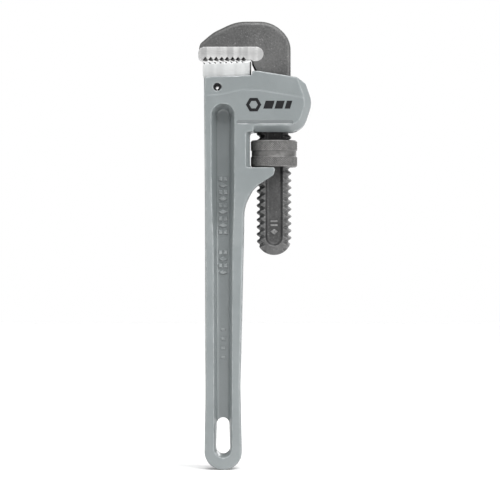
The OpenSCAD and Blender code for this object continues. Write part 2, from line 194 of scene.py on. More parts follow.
def mathNode(tree, operation, at, a=None, b=None, clamp=False):
    node = addNode(tree, "ShaderNodeMath", at, operation=operation, use_clamp=clamp)
    for socket, value in ((node.inputs[0], a), (node.inputs[1], b)):
        if value is None:
            continue
        if isinstance(value, (int, float)):
            socket.default_value = value
        else:
            tree.links.new(value, socket)
    return node.outputs[0]


def rangeNode(tree, value, at, low, high, toLow=0.0, toHigh=1.0):
    node = addNode(tree, "ShaderNodeMapRange", at, interpolation_type="SMOOTHSTEP")
    for label, number in (("From Min", low), ("From Max", high), ("To Min", toLow), ("To Max", toHigh)):
        if isinstance(number, (int, float)):
            node.inputs[label].default_value = number
        else:
            tree.links.new(number, node.inputs[label])
    tree.links.new(value, node.inputs["Value"])
    return node.outputs["Result"]


def mixColour(tree, mask, a, b, at):
    node = addNode(tree, "ShaderNodeMix", at, data_type="RGBA")
    for socket, value in ((node.inputs[0], mask), (node.inputs[6], a), (node.inputs[7], b)):
        if isinstance(value, (int, float, tuple)):
            socket.default_value = value
        else:
            tree.links.new(value, socket)
    return node.outputs[2]


def makeEdgeSheenAndWear():
    # bright corners, a painted highlight along with rubbed wear, broken up by a coarse noise; and a mask of
    # the hollows
    tree, source, sink = newGroup(
        "edgeSheenAndWear",
        [("Start", "NodeSocketFloat", 0.53), ("Full", "NodeSocketFloat", 0.6),
         ("Patch Scale", "NodeSocketFloat", 300.0), ("Amount", "NodeSocketFloat", 1.0)],
        [("SheenAndWear", "NodeSocketFloat"), ("Hollow", "NodeSocketFloat")],
    )
    geometry = addNode(tree, "ShaderNodeNewGeometry", (-700, 200))
    coords = addNode(tree, "ShaderNodeTexCoord", (-900, -300))
    noise = addNode(tree, "ShaderNodeTexNoise", (-700, -200), noise_dimensions="3D")
    noise.inputs["Detail"].default_value = 5.0
    noise.inputs["Roughness"].default_value = 0.65
    tree.links.new(coords.outputs["Object"], noise.inputs["Vector"])
    tree.links.new(source.outputs["Patch Scale"], noise.inputs["Scale"])
    bend = geometry.outputs["Pointiness"]
    edge = rangeNode(tree, bend, (-400, 200), source.outputs["Start"], source.outputs["Full"])
    patch = rangeNode(tree, noise.outputs["Fac"], (-400, -200), 0.38, 0.62)
    broken = mathNode(tree, "MULTIPLY", (-100, 100), edge, patch)
    amount = mathNode(tree, "MULTIPLY", (100, 100), broken, source.outputs["Amount"], clamp=True)
    hollow = rangeNode(tree, bend, (-400, 450), 0.49, 0.44)
    tree.links.new(amount, sink.inputs["SheenAndWear"])
    tree.links.new(hollow, sink.inputs["Hollow"])
    return tree


def makeCastSkin():
    # the orange-peel height and uneven tone of a painted or forged surface
    tree, source, sink = newGroup(
        "castSkin",
        [("Scale", "NodeSocketFloat", 900.0), ("Blotch Scale", "NodeSocketFloat", 60.0)],
        [("Height", "NodeSocketFloat"), ("Tone", "NodeSocketFloat"), ("Pits", "NodeSocketFloat")],
    )
    coords = addNode(tree, "ShaderNodeTexCoord", (-900, -300))
    fineNoise = addNode(tree, "ShaderNodeTexNoise", (-600, 200), noise_dimensions="3D")
    fineNoise.inputs["Detail"].default_value = 3.0
    blotch = addNode(tree, "ShaderNodeTexNoise", (-600, -100), noise_dimensions="3D")
    blotch.inputs["Detail"].default_value = 6.0
    blotch.inputs["Roughness"].default_value = 0.6
    pits = addNode(tree, "ShaderNodeTexVoronoi", (-600, -400), feature="F1")
    for node in (fineNoise, blotch, pits):
        tree.links.new(coords.outputs["Object"], node.inputs["Vector"])
    tree.links.new(source.outputs["Scale"], fineNoise.inputs["Scale"])
    tree.links.new(source.outputs["Blotch Scale"], blotch.inputs["Scale"])
    pitScale = mathNode(tree, "MULTIPLY", (-760, -450), source.outputs["Scale"], 0.9)
    tree.links.new(pitScale, pits.inputs["Scale"])
    pitMask = rangeNode(tree, pits.outputs["Distance"], (-350, -400), 0.22, 0.08)
    patch = rangeNode(tree, blotch.outputs["Fac"], (-350, -250), 0.5, 0.68)
    gated = mathNode(tree, "MULTIPLY", (-100, -350), pitMask, patch)
    tree.links.new(fineNoise.outputs["Fac"], sink.inputs["Height"])
    tree.links.new(blotch.outputs["Fac"], sink.inputs["Tone"])
    tree.links.new(gated, sink.inputs["Pits"])
    return tree


def makeGrindLines():
    # fine straight scratches; Stretch squeezes the noise across the stroke
    tree, source, sink = newGroup(
        "grindLines",
        [("Scale", "NodeSocketFloat", 700.0), ("Stretch", "NodeSocketVector", (1.0, 1.0, 0.04))],
        [("Height", "NodeSocketFloat"), ("Streak", "NodeSocketFloat")],
    )
    coords = addNode(tree, "ShaderNodeTexCoord", (-900, -300))
    squeeze = addNode(tree, "ShaderNodeVectorMath", (-700, -100), operation="MULTIPLY")
    tree.links.new(coords.outputs["Object"], squeeze.inputs[0])
    tree.links.new(source.outputs["Stretch"], squeeze.inputs[1])
    fineLines = addNode(tree, "ShaderNodeTexNoise", (-450, 200), noise_dimensions="3D")
    fineLines.inputs["Detail"].default_value = 4.0
    wideLines = addNode(tree, "ShaderNodeTexNoise", (-450, -200), noise_dimensions="3D")
    wideLines.inputs["Detail"].default_value = 2.0
    for node in (fineLines, wideLines):
        tree.links.new(squeeze.outputs[0], node.inputs["Vector"])
    tree.links.new(source.outputs["Scale"], fineLines.inputs["Scale"])
    slower = mathNode(tree, "MULTIPLY", (-650, -350), source.outputs["Scale"], 0.28)
    tree.links.new(slower, wideLines.inputs["Scale"])
    tree.links.new(fineLines.outputs["Fac"], sink.inputs["Height"])
    tree.links.new(wideLines.outputs["Fac"], sink.inputs["Streak"])
    return tree


edgeSheenAndWear = makeEdgeSheenAndWear()
castSkin = makeCastSkin()
grindLines = makeGrindLines()


def startMaterial(name, metallic, roughness=0.5):
    mat = bpy.data.materials.new(name)
    mat.use_nodes = True
    tree = mat.node_tree
    shader = tree.nodes["Principled BSDF"]
    shader.location = (900, 0)
    tree.nodes["Material Output"].location = (1250, 0)
    shader.inputs["Metallic"].default_value = metallic
    shader.inputs["Roughness"].default_value = roughness
    return mat, tree, shader


def addBump(tree, shader, height, strength, distance):
    bump = addNode(tree, "ShaderNodeBump", (600, -400))
    bump.inputs["Strength"].default_value = strength
    bump.inputs["Distance"].default_value = distance
    tree.links.new(height, bump.inputs["Height"])
    tree.links.new(bump.outputs["Normal"], shader.inputs["Normal"])


paintLook = {
    "light": (0.184, 0.203, 0.206, 1),
    "dark": (0.166, 0.184, 0.187, 1),
    "sheenWorn": (0.42, 0.44, 0.44, 1),
    # grime and painted shade for the hollows
    "grimeShade": (0.10, 0.108, 0.11, 1),
    "grimeShadeAmount": 0.6,
    "roughness": (0.3, 0.4),
    "coat": 0.6,
    "coatRoughness": 0.22,
    "skin": {"Scale": 1100.0, "Blotch Scale": 45.0},
    "sheenWear": {"Start": 0.506, "Full": 0.54, "Patch Scale": 260.0, "Amount": 0.32},
    "bump": (0.18, 0.0003),    # strength, and depth in metres
}
# darker paint for the groove above the window: painted shade
grooveShadeLook = {
    **paintLook,
    "light": (0.13, 0.144, 0.146, 1),
    "dark": (0.115, 0.127, 0.13, 1),
}
castMarkLook = {
    **paintLook,
    "light": (0.2, 0.22, 0.223, 1),
    "dark": (0.178, 0.196, 0.199, 1),
}


def makePaint(name, look):
    # satin paint over a casting, its corners lighter as rubbed wear and a painted highlight, its hollows
    # darker as grime and painted shade
    mat, tree, shader = startMaterial(name, 0.0)
    shader.inputs["Coat Weight"].default_value = look["coat"]
    shader.inputs["Coat Roughness"].default_value = look["coatRoughness"]
    skin = place(tree, castSkin, (-600, 0), **look["skin"])
    sheenWear = place(tree, edgeSheenAndWear, (-600, 300), **look["sheenWear"])
    tone = rangeNode(tree, skin.outputs["Tone"], (-300, 0), 0.35, 0.65)
    base = mixColour(tree, tone, look["dark"], look["light"], (0, 100))
    # painted shade with grime: darker in the hollows
    grimeShadeMask = mathNode(tree, "MULTIPLY", (0, 300), sheenWear.outputs["Hollow"], look["grimeShadeAmount"])
    grimeShaded = mixColour(tree, grimeShadeMask, base, look["grimeShade"], (250, 150))
    # painted highlight with rubbed wear: the corners are lighter
    sheenRubbed = mixColour(tree, sheenWear.outputs["SheenAndWear"], grimeShaded, look["sheenWorn"], (450, 150))
    tree.links.new(sheenRubbed, shader.inputs["Base Color"])
    rough = rangeNode(tree, skin.outputs["Tone"], (300, -150), 0.3, 0.7, *look["roughness"])
    tree.links.new(rough, shader.inputs["Roughness"])
    addBump(tree, shader, skin.outputs["Height"], *look["bump"])
    return mat


forged = {                     # what every forged or hardened skin shares
    "metallic": 0.5,
    "broadSkin": {"Scale": 480.0, "Blotch Scale": 55.0},
    "broadShare": 0.55,        # of the mottling that is broad
    "specks": 0.35,            # how bright the brightest grains get
    "spots": 0.6,              # how dark the broad spots get
    "sheenWear": {"Start": 0.515, "Full": 0.56, "Patch Scale": 400.0},
    "oilShadeDrift": 12 * mm,       # how unevenly the oil and the painted shade thin out
    "roughness": (0.38, 0.56),
    "bump": (0.4, 0.0002),
}
forgedLook = {
    "light": (0.126, 0.126, 0.125, 1),
    "dark": (0.082, 0.082, 0.082, 1),
    "pit": (0.03, 0.03, 0.031, 1),
    "sheenWorn": (0.33, 0.33, 0.325, 1),
    "sheenWearAmount": 0.5,
    # oil and painted shade for the hollows
    "oilShade": (0.008, 0.008, 0.008, 1),
    "oilShadeAmount": 0.9,
    "skin": {"Scale": 1300.0, "Blotch Scale": 900.0},
}
shankMarkLook = {
    **forgedLook,
    "light": (0.22, 0.22, 0.22, 1),
    "dark": (0.15, 0.15, 0.15, 1),
}
recessLook = {
    **forgedLook,
    "light": (0.085, 0.085, 0.085, 1),
    "dark": (0.05, 0.05, 0.05, 1),
    "sheenWearAmount": 0.2,
}
# thread under the housing: oil, and painted shade, nearly black
oiledShadeLook = {
    **forgedLook,
    "light": (0.018, 0.018, 0.018, 1),
    "dark": (0.006, 0.006, 0.006, 1),
    "sheenWearAmount": 0.1,
    "bare": (0.1, 0.1, 0.1, 1),
    "fade": (0.205, 0.2195),   # heights between which the oil and the painted shade thin out to the bare colour
}
# dark skin and painted shade: the teeth's flanks, the heel jaw's end, the hook's throat and the recess walls
scaleShadeLook = {
    "light": (0.06, 0.06, 0.06, 1),
    "dark": (0.025, 0.025, 0.026, 1),
    "pit": (0.012, 0.012, 0.012, 1),
    "sheenWorn": (0.35, 0.35, 0.35, 1),
    "sheenWearAmount": 0.2,
    "oilShade": (0.008, 0.008, 0.008, 1),
    "oilShadeAmount": 0.5,
    "skin": {"Scale": 1500.0, "Blotch Scale": 300.0},
}
nutLook = {
    "light": (0.147, 0.144, 0.141, 1),
    "dark": (0.09, 0.089, 0.087, 1),
    "pit": (0.035, 0.035, 0.035, 1),
    "sheenWorn": (0.38, 0.375, 0.37, 1),
    "sheenWearAmount": 0.45,
    "oilShade": (0.015, 0.015, 0.015, 1),
    "oilShadeAmount": 0.5,
    "skin": {"Scale": 1800.0, "Blotch Scale": 500.0},
}


def makeForged(name, look):
    # dark heat-treated skin: fine mottling, dark pits, bright specks, corners lightened as wear and a
    # painted highlight, and oil with painted shade in the hollows
    mat, tree, shader = startMaterial(name, forged["metallic"])
    skin = place(tree, castSkin, (-600, 0), **look["skin"])
    broad = place(tree, castSkin, (-600, -300), **forged["broadSkin"])
    sheenWear = place(tree, edgeSheenAndWear, (-600, 300), **forged["sheenWear"], Amount=look["sheenWearAmount"])
    blend = addNode(tree, "ShaderNodeMix", (-420, -100), data_type="FLOAT")
    blend.inputs[0].default_value = forged["broadShare"]
    tree.links.new(skin.outputs["Tone"], blend.inputs[2])
    tree.links.new(broad.outputs["Tone"], blend.inputs[3])
    tone = rangeNode(tree, blend.outputs[0], (-300, 0), 0.38, 0.62)
    base = mixColour(tree, tone, look["dark"], look["light"], (0, 100))
    pitted = mixColour(tree, skin.outputs["Pits"], base, look["pit"], (150, 150))
    specks = rangeNode(tree, skin.outputs["Height"], (0, -150), 0.64, 0.72, 0.0, forged["specks"])
    spots = mathNode(tree, "MULTIPLY", (150, 0), broad.outputs["Pits"], forged["spots"])
    spotted = mixColour(tree, spots, pitted, look["pit"], (220, 100))
    speckled = mixColour(tree, specks, spotted, look["sheenWorn"], (300, 150))
    # painted highlight with rubbed wear: the corners are lighter
    sheenRubbed = mixColour(tree, sheenWear.outputs["SheenAndWear"], speckled, look["sheenWorn"], (450, 150))
    # painted shade with oil: darker in the hollows, such as the grooves of the thread and the knurl
    oilShadeMask = mathNode(tree, "MULTIPLY", (300, 350), sheenWear.outputs["Hollow"], look["oilShadeAmount"])
    oilShaded = mixColour(tree, oilShadeMask, sheenRubbed, look["oilShade"], (600, 200))
    if "fade" in look:
        coords = addNode(tree, "ShaderNodeTexCoord", (0, 700))
        split = addNode(tree, "ShaderNodeSeparateXYZ", (150, 700))
        tree.links.new(coords.outputs["Object"], split.inputs[0])
        uneven = mathNode(tree, "MULTIPLY", (150, 550), broad.outputs["Tone"], forged["oilShadeDrift"])
        height = mathNode(tree, "ADD", (300, 650), split.outputs["Z"], uneven)
        bare = rangeNode(tree, height, (450, 650), *look["fade"])
        oilShaded = mixColour(tree, bare, oilShaded, look["bare"], (750, 300))
    tree.links.new(oilShaded, shader.inputs["Base Color"])
    rough = rangeNode(tree, skin.outputs["Height"], (300, -150), 0.3, 0.7, *forged["roughness"])
    tree.links.new(rough, shader.inputs["Roughness"])
    lowered = mathNode(tree, "SUBTRACT", (300, -400), skin.outputs["Height"], skin.outputs["Pits"])
    addBump(tree, shader, lowered, *forged["bump"])
    return mat


stripLook = {
    "light": (0.5, 0.5, 0.497, 1),
    "dark": (0.37, 0.37, 0.37, 1),
    "lines": {"Scale": 900.0, "Stretch": (1.0, 1.0, 0.03)},
    "roughness": (0.28, 0.42),
}
heelLook = {
    "light": (0.61, 0.62, 0.62, 1),
    "dark": (0.52, 0.53, 0.53, 1),
    "lines": {"Scale": 1000.0, "Stretch": (1.0, 1.0, 0.03)},
    "roughness": (0.3, 0.4),
}
ground = {                     # what both ground jaws share
    "metallic": 0.45,
    "grimeShade": (0.2, 0.2, 0.2, 1),
    "grimeShadeAmount": 0.5,
    "bump": (0.15, 0.0001),
}


def makeGround(name, look):
    # bright steel with the fine lines of the grinding wheel
    mat, tree, shader = startMaterial(name, ground["metallic"])
    lines = place(tree, grindLines, (-600, 0), **look["lines"])
    sheenWear = place(tree, edgeSheenAndWear, (-600, 300))
    streak = rangeNode(tree, lines.outputs["Streak"], (-300, 0), 0.36, 0.64)
    base = mixColour(tree, streak, look["dark"], look["light"], (0, 100))
    # painted shade with grime: darker in the hollows, such as the gullets between the teeth
    grimeShadeMask = mathNode(tree, "MULTIPLY", (0, 300), sheenWear.outputs["Hollow"], ground["grimeShadeAmount"])
    final = mixColour(tree, grimeShadeMask, base, ground["grimeShade"], (250, 100))
    tree.links.new(final, shader.inputs["Base Color"])
    rough = rangeNode(tree, lines.outputs["Height"], (300, -150), 0.3, 0.7, *look["roughness"])
    tree.links.new(rough, shader.inputs["Roughness"])
    addBump(tree, shader, lines.outputs["Height"], *ground["bump"])
    return mat


pinLook = {
    "light": (0.03, 0.03, 0.032, 1),
    "dark": (0.012, 0.012, 0.013, 1),
    "roughness": 0.4,
}
springLook = {
    "light": (0.4, 0.4, 0.42, 1),
    "dark": (0.25, 0.25, 0.26, 1),
    "roughness": 0.3,
}
drawn = {                      # what all pins, springs and rivets share
    "metallic": 0.8,
    "skin": {"Scale": 2500.0, "Blotch Scale": 400.0},
    "sheenWear": {"Start": 0.54, "Full": 0.62, "Patch Scale": 900.0, "Amount": 0.5},
    "brighten": 2.2,           # how much brighter than its light tone a corner is painted, as wear and a painted highlight
    "bump": (0.1, 0.0001),
}


def makeDrawn(name, look):
    # drawn wire or strip with a trace of oil, its corners painted brighter as wear and a painted highlight
    mat, tree, shader = startMaterial(name, drawn["metallic"], look["roughness"])
    skin = place(tree, castSkin, (-600, 0), **drawn["skin"])
    sheenWear = place(tree, edgeSheenAndWear, (-600, 300), **drawn["sheenWear"])
    base = mixColour(tree, skin.outputs["Tone"], look["dark"], look["light"], (0, 100))
    brighter = tuple(min(1.0, c * drawn["brighten"]) for c in look["light"][:3]) + (1,)
    # painted highlight with rubbed wear: the corners are lighter
    sheenRubbed = mixColour(tree, sheenWear.outputs["SheenAndWear"], base, brighter, (250, 100))
    tree.links.new(sheenRubbed, shader.inputs["Base Color"])
    addBump(tree, shader, skin.outputs["Height"], *drawn["bump"])
    return mat


inkLook = {
    "light": (0.018, 0.018, 0.019, 1),
    "dark": (0.006, 0.006, 0.007, 1),
    "roughness": 0.6,
    "specular": 0.1,
    "skin": {"Scale": 1500.0, "Blotch Scale": 300.0},
    "bump": (0.1, 0.0001),
}


def makeInk(name, look):
    mat, tree, shader = startMaterial(name, 0.0, look["roughness"])
    shader.inputs["Specular IOR Level"].default_value = look["specular"]
    skin = place(tree, castSkin, (-600, 0), **look["skin"])
    base = mixColour(tree, skin.outputs["Tone"], look["dark"], look["light"], (0, 100))
    tree.links.new(base, shader.inputs["Base Color"])
    addBump(tree, shader, skin.outputs["Height"], *look["bump"])
    return mat


handlePaint = makePaint("handlePaint", paintLook)
grooveShadePaint = makePaint("grooveShadePaint", grooveShadeLook)
markPaint = makePaint("markPaint", castMarkLook)
forgedSteel = makeForged("forgedSteel", forgedLook)
markSteel = makeForged("markSteel", shankMarkLook)
nutSteel = makeForged("nutSteel", nutLook)
recessSteel = makeForged("recessSteel", recessLook)
oiledShadeSteel = makeForged("oiledShadeSteel", oiledShadeLook)
toothScaleShade = makeForged("toothScaleShade", scaleShadeLook)
stripSteel = makeGround("stripSteel", stripLook)
heelSteel = makeGround("heelSteel", heelLook)
pinSteel = makeDrawn("pinSteel", pinLook)
springSteel = makeDrawn("springSteel", springLook)
printInk = makeInk("padPrint", inkLook)
print("finishes made")


def finishPiece(obj, material, body, node=None):
    obj.data.materials.clear()
    obj.data.materials.append(material)
    for polygon in obj.data.polygons:
        polygon.material_index = 0
    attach(obj, body)
    if node:
        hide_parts(node)


handle = {
    "voxel": 0.5 * mm,
    "rounding": 4,
    "edge": 1.4 * mm,          # rounding along the outer edges of the grip and the housing's front
    "gripDrop": 14 * mm,       # from the nut's lower face down to where the plain grip begins
    "rimOut": 6 * mm,          # rims nearer to the middle plane than this stay sharp
    "rimAngle": 50,            # and so do edges that turn by less than this, in degrees
    "frontLean": 0.8,          # how far a wall of the front faces forwards at least, from 0 to 1
    "levelLean": 0.3,          # a wall that faces along X less than this counts as level
    "slotHalf": 5.5 * mm,      # the rims of the hang slot stay sharp too
    "slotEnds": (5 * mm, 40 * mm),
    "windowTop": 4.3 * mm,     # height of the window's upper edge above the nut
    "blendReach": 5.0 * mm,    # how far the start of the housing's lower slope is blended
    "blendIn": 2 * mm,         # centre of that blend, in from the nut's side and above the window
    "blendOut": 7 * mm,        # and only further from the middle plane than this
    "blendRounds": 24,
    "grooveRise": 5.5 * mm,    # middle of the groove above the window's upper edge
    "grooveHalf": 1.3 * mm,
    "grooveIn": (8 * mm, 9 * mm),      # its ends, from the nut's side and from the housing's back
    "grooveDepth": (0.06 * mm, 1 * mm),
}
handleLow, handleHigh = (Vector(c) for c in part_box("handle_body"))
nutLow, nutHigh = (Vector(c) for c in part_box("adjusting_nut"))

castMark = {
    "bed": 3.0 * mm,           # half the thickness of the web that the marks stand on
    "rise": 0.7 * mm,
    "step": 3.7 * mm,
    "runs": ((162.0 * mm, 9), (121.0 * mm, 4)),        # height of the top mark, and the number of marks
    "lozenge": (5.0 * mm, 2.6 * mm),
    "bar": (1.9 * mm, 2.3 * mm),
    "barOut": 1.45 * mm,
    "footTop": 78.0 * mm,
    "footStep": 5.2 * mm,
    "footCount": 4,
    "footBar": (2.2 * mm, 1.4 * mm),
    "footRise": 0.3 * mm,
    "bevel": 0.12 * mm,
}
markRoot = 0.3 * mm            # how deep any raised mark reaches into its bed
markTaper = 0.88               # size of its top, as a share of its foot


def rimWall(edge, flatness):
    # the wall that meets a face square to Y at this edge; none where the edge is no such rim
    flat = [f for f in edge.link_faces if abs(f.normal.y) > flatness]
    wall = [f for f in edge.link_faces if abs(f.normal.y) < 0.05]
    return wall[0] if len(flat) == 1 and len(wall) == 1 else None


def raisedMark(bm, outline, bed, side, rise):
    # one low island with sloped flanks; outline is [x, z] points, bed the surface that it stands on
    cx = sum(x for x, z in outline) / len(outline)
    cz = sum(z for x, z in outline) / len(outline)
    rings = []
    for shrink, lift in ((1.0, -markRoot), (1.0, 0.0), (markTaper, rise)):
        y = side * (bed + lift)
        rings.append([bm.verts.new((cx + (x - cx) * shrink, y, cz + (z - cz) * shrink)) for x, z in outline])
    n = len(outline)
    for low, high in zip(rings, rings[1:]):
        for k in range(n):
            bm.faces.new((low[k], low[(k + 1) % n], high[(k + 1) % n], high[k]))
    bm.faces.new(rings[0][::-1])
    bm.faces.new(rings[-1])


def barAt(x, z, w, h):
    return [(x - w / 2, z - h / 2), (x + w / 2, z - h / 2), (x + w / 2, z + h / 2), (x - w / 2, z + h / 2)]


def lozengeAt(x, z, w, h):
    return [(x, z - h / 2), (x + w / 2, z), (x, z + h / 2), (x - w / 2, z)]


def makeCastMarks():
    # plain bars and lozenges stand where a maker would cast a grade and a size
    bm = bmesh.new()
    bed, rise = castMark["bed"], castMark["rise"]
    for side in (-1, 1):
        for start, count in castMark["runs"]:
            for k in range(count):
                z = start - k * castMark["step"]
                if k % 2:
                    raisedMark(bm, lozengeAt(0, z, *castMark["lozenge"]), bed, side, rise)
                else:
                    for x in (-castMark["barOut"], castMark["barOut"]):
                        raisedMark(bm, barAt(x, z, *castMark["bar"]), bed, side, rise)
        for k in range(castMark["footCount"]):
            z = castMark["footTop"] - k * castMark["footStep"]
            raisedMark(bm, barAt(0, z, *castMark["footBar"]), bed, side, castMark["footRise"])
    bmesh.ops.recalc_face_normals(bm, faces=bm.faces)
    marks = objectFrom(bm, "castMarks")
    crispBevel(marks, castMark["bevel"])
    finishPiece(marks, markPaint, "handle")


def makeHandle():
    casting = copyNode("handle_body", "handleCasting")
    windowTop = nutHigh.z + handle["windowTop"]
    slotFoot, slotTop = handle["slotEnds"]

    def outerEdge(e):
        # the rims of the two faces: all round the grip, and along the front of the housing
        wall = rimWall(e, 0.9)
        if wall is None or e.calc_face_angle() < math.radians(handle["rimAngle"]):
            return False
        middle = (e.verts[0].co + e.verts[1].co) / 2
        away = wall.normal
        outward = away.x * middle.x > 0 or abs(away.x) < handle["levelLean"]
        inSlot = abs(middle.x) < handle["slotHalf"] and slotFoot < middle.z < slotTop
        onGrip = middle.z < nutLow.z - handle["gripDrop"]
        onFront = away.x < -handle["frontLean"]
        return outward and not inSlot and abs(middle.y) > handle["rimOut"] and (onGrip or onFront)

    def blendWeight(co):
        # strongest where the slope under the housing begins
        centreIn = handle["blendIn"]
        reach = math.hypot(co.x - nutLow.x - centreIn, co.z - windowTop - centreIn)
        return 1 - reach / handle["blendReach"] if abs(co.y) > handle["blendOut"] else 0

    bevelEdges(casting, outerEdge, handle["edge"], 3)
    soften(casting, handle["voxel"], handle["rounding"])
    smoothWhere(casting, blendWeight, handle["blendRounds"])
    finishPiece(casting, handlePaint, "handle", "handle_body")
    casting.data.materials.append(grooveShadePaint)
    grooveStart, grooveEnd = nutLow.x - handle["grooveIn"][0], handleHigh.x - handle["grooveIn"][1]
    shallow, deep = handle["grooveDepth"]
    for polygon in casting.data.polygons:
        # the groove above the window's rim is painted darker, as painted shade
        at = polygon.center
        level = abs(at.z - windowTop - handle["grooveRise"]) < handle["grooveHalf"]
        sunk = handleHigh.y - deep < abs(at.y) < handleHigh.y - shallow
        if level and sunk and grooveStart < at.x < grooveEnd:
            polygon.material_index = 1


makeHandle()
makeCastMarks()
print("handle cast")


hook = {
    "voxel": 0.34 * mm,
    "rounding": 3,
    "bevel": 2.2 * mm,
    "bevelSteps": 3,
    "faceMargin": 0.01 * mm,   # how near to the face a rim lies
    "pocketMargin": (0.05 * mm, 0.02 * mm),    # beside and above the strip's pocket, and below it
    "shoulderDrop": 8 * mm,    # from the housing's top down to where the smooth part begins
    "oiledShadeDrop": 2 * mm,         # how far the oiled stretch, also painted dark as shade, reaches down into the nut
    "recessHalf": 5.2 * mm,    # half the width of the shank's recess
    "recessSkin": 0.2 * mm,    # what lies deeper than this under the shank's face is recess
    "throatIn": 2 * mm,        # the dark throat ends this far inside the strip's end
    "throatRise": 0.6 * mm,    # and this far above the strip's lower side
}
shankMark = {
    "height": 13.0 * mm,       # of the lozenge, above the shank's lower end
    "bed": 1.7 * mm,           # depth of the recess
    "rise": 0.45 * mm,
    "lozenge": (4.2 * mm, 3.4 * mm),
    "bar": (4.0 * mm, 1.1 * mm),
    "bars": (3.6 * mm, 5.8 * mm),      # how far above the lozenge they stand
    "bevel": 0.12 * mm,
}


def makeHook():
    jaw = copyNode("hook_jaw", "hookForging")
    low, high = (Vector(c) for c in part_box("hook_jaw"))
    strip = [Vector(c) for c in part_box("hook_jaw_insert")]
    shoulder = handleHigh.z - hook["shoulderDrop"]
    half = (high.y - low.y) / 2

    def outerEdge(e):
        # the rims of both faces above the shoulder, except round the strip's pocket
        wall = rimWall(e, 0.99)
        if wall is None or any(abs(abs(v.co.y) - half) > hook["faceMargin"] for v in e.verts):
            return False
        middle = (e.verts[0].co + e.verts[1].co) / 2
        beside, below = hook["pocketMargin"]
        inPocket = middle.z < strip[1].z + beside and middle.x < strip[1].x + beside
        onPocket = inPocket and middle.z > strip[0].z - below
        return middle.z > shoulder and not onPocket

    bevelEdges(jaw, outerEdge, hook["bevel"], hook["bevelSteps"])
    soften(jaw, hook["voxel"], hook["rounding"])
    finishPiece(jaw, forgedSteel, "hook", "hook_jaw")
    for skin in (recessSteel, oiledShadeSteel, toothScaleShade):
        jaw.data.materials.append(skin)
    axis = (nutLow.x + nutHigh.x) / 2
    throatEnd, throatTop = strip[1].x - hook["throatIn"], strip[0].z + hook["throatRise"]
    for polygon in jaw.data.polygons:
        at = polygon.center
        inRecess = abs(at.x - axis) < hook["recessHalf"] and abs(at.y) < half - hook["recessSkin"]
        if nutHigh.z - hook["oiledShadeDrop"] < at.z < shoulder:
            polygon.material_index = 2          # thread that the nut and the housing keep oiled, painted nearly black as oil and as shade under the housing
        elif at.z < shoulder and inRecess:
            # recess that keeps its forging scale; its walls are painted darkest, as painted shade
            polygon.material_index = 3 if abs(polygon.normal.y) < 0.85 else 1
        elif at.x < throatEnd and at.z < throatTop and polygon.normal.x < -0.3:
            polygon.material_index = 3          # throat, behind the heel jaw, painted dark as shade


def makeShankMarks():
    # a lozenge and two bars in each recess of the shank
    low, high = (Vector(c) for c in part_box("hook_jaw"))
    x = (nutLow.x + nutHigh.x) / 2
    bed = (high.y - low.y) / 2 - shankMark["bed"]
    z = low.z + shankMark["height"]
    bm = bmesh.new()
    for side in (-1, 1):
        raisedMark(bm, lozengeAt(x, z, *shankMark["lozenge"]), bed, side, shankMark["rise"])
        for up in shankMark["bars"]:
            raisedMark(bm, barAt(x, z + up, *shankMark["bar"]), bed, side, shankMark["rise"])
    bmesh.ops.recalc_face_normals(bm, faces=bm.faces)
    marks = objectFrom(bm, "shankMarks")
    crispBevel(marks, shankMark["bevel"])
    finishPiece(marks, markSteel, "hook")


makeHook()
makeShankMarks()
print("hook forged")


groundJaw = {                  # edges, and where the jaws are painted dark: the hardening's skin, and painted shade in the gullets and on the heel jaw's end
    "bevel": 0.18 * mm,
    "flankRise": (0.2, 0.9),   # how far a dark flank faces up or down, from 0 to 1
    "stripLean": 0.3,          # how far it faces along X at least, on the strip
    "heelLean": 0.55,          # and on the block
    "endLean": 0.5,            # how far the dark end faces along X at least
    "endRise": 0.3,            # and how far up or down at most
    "stripIn": 2.2 * mm,       # from the strip's front end to its first dark flank
    "stripUp": 2.6 * mm,       # from the strip's lower side up to the roots of its teeth
    "heelDown": 3.2 * mm,      # from the block's top down to the roots of its teeth
    "heelEnd": 0.9 * mm,       # depth of the dark end
}
smallBevel = {"pin": 0.15 * mm, "spring": 0.08 * mm}


def makeEdgedPiece(node, name, material, body, bevel, darkWhere=None):
    # darkWhere picks the faces painted dark, as dark skin and as painted shade
    piece = copyNode(node, name)
    crispBevel(piece, bevel)
    finishPiece(piece, material, body, node)
    if darkWhere:
        piece.data.materials.append(toothScaleShade)
        for polygon in piece.data.polygons:
            if darkWhere(polygon.center, polygon.normal):
                polygon.material_index = 1


stripLow = Vector(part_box("hook_jaw_insert")[0])
heelHigh = Vector(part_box("heel_jaw")[1])


def stripFlankShade(centre, normal):
    inRow = stripLow.x + groundJaw["stripIn"] < centre.x < heelHigh.x
    atTeeth = centre.z < stripLow.z + groundJaw["stripUp"]
    least, most = groundJaw["flankRise"]
    return inRow and atTeeth and least < -normal.z < most and abs(normal.x) > groundJaw["stripLean"]


def heelSkinAndShade(centre, normal):
    least, most = groundJaw["flankRise"]
    atTeeth = centre.z > heelHigh.z - groundJaw["heelDown"]
    flank = atTeeth and abs(normal.x) > groundJaw["heelLean"] and least < normal.z < most
    atEnd = centre.x > heelHigh.x - groundJaw["heelEnd"]
    end = atEnd and normal.x > groundJaw["endLean"] and abs(normal.z) < groundJaw["endRise"]
    return flank or end


teeth = groundJaw["bevel"]
makeEdgedPiece("hook_jaw_insert", "toothedStrip", stripSteel, "hook", teeth, stripFlankShade)
makeEdgedPiece("heel_jaw", "heelBlock", heelSteel, "handle", teeth, heelSkinAndShade)
makeEdgedPiece("heel_jaw_pin", "rolledPin", pinSteel, "handle", smallBevel["pin"])
print("jaws ground")


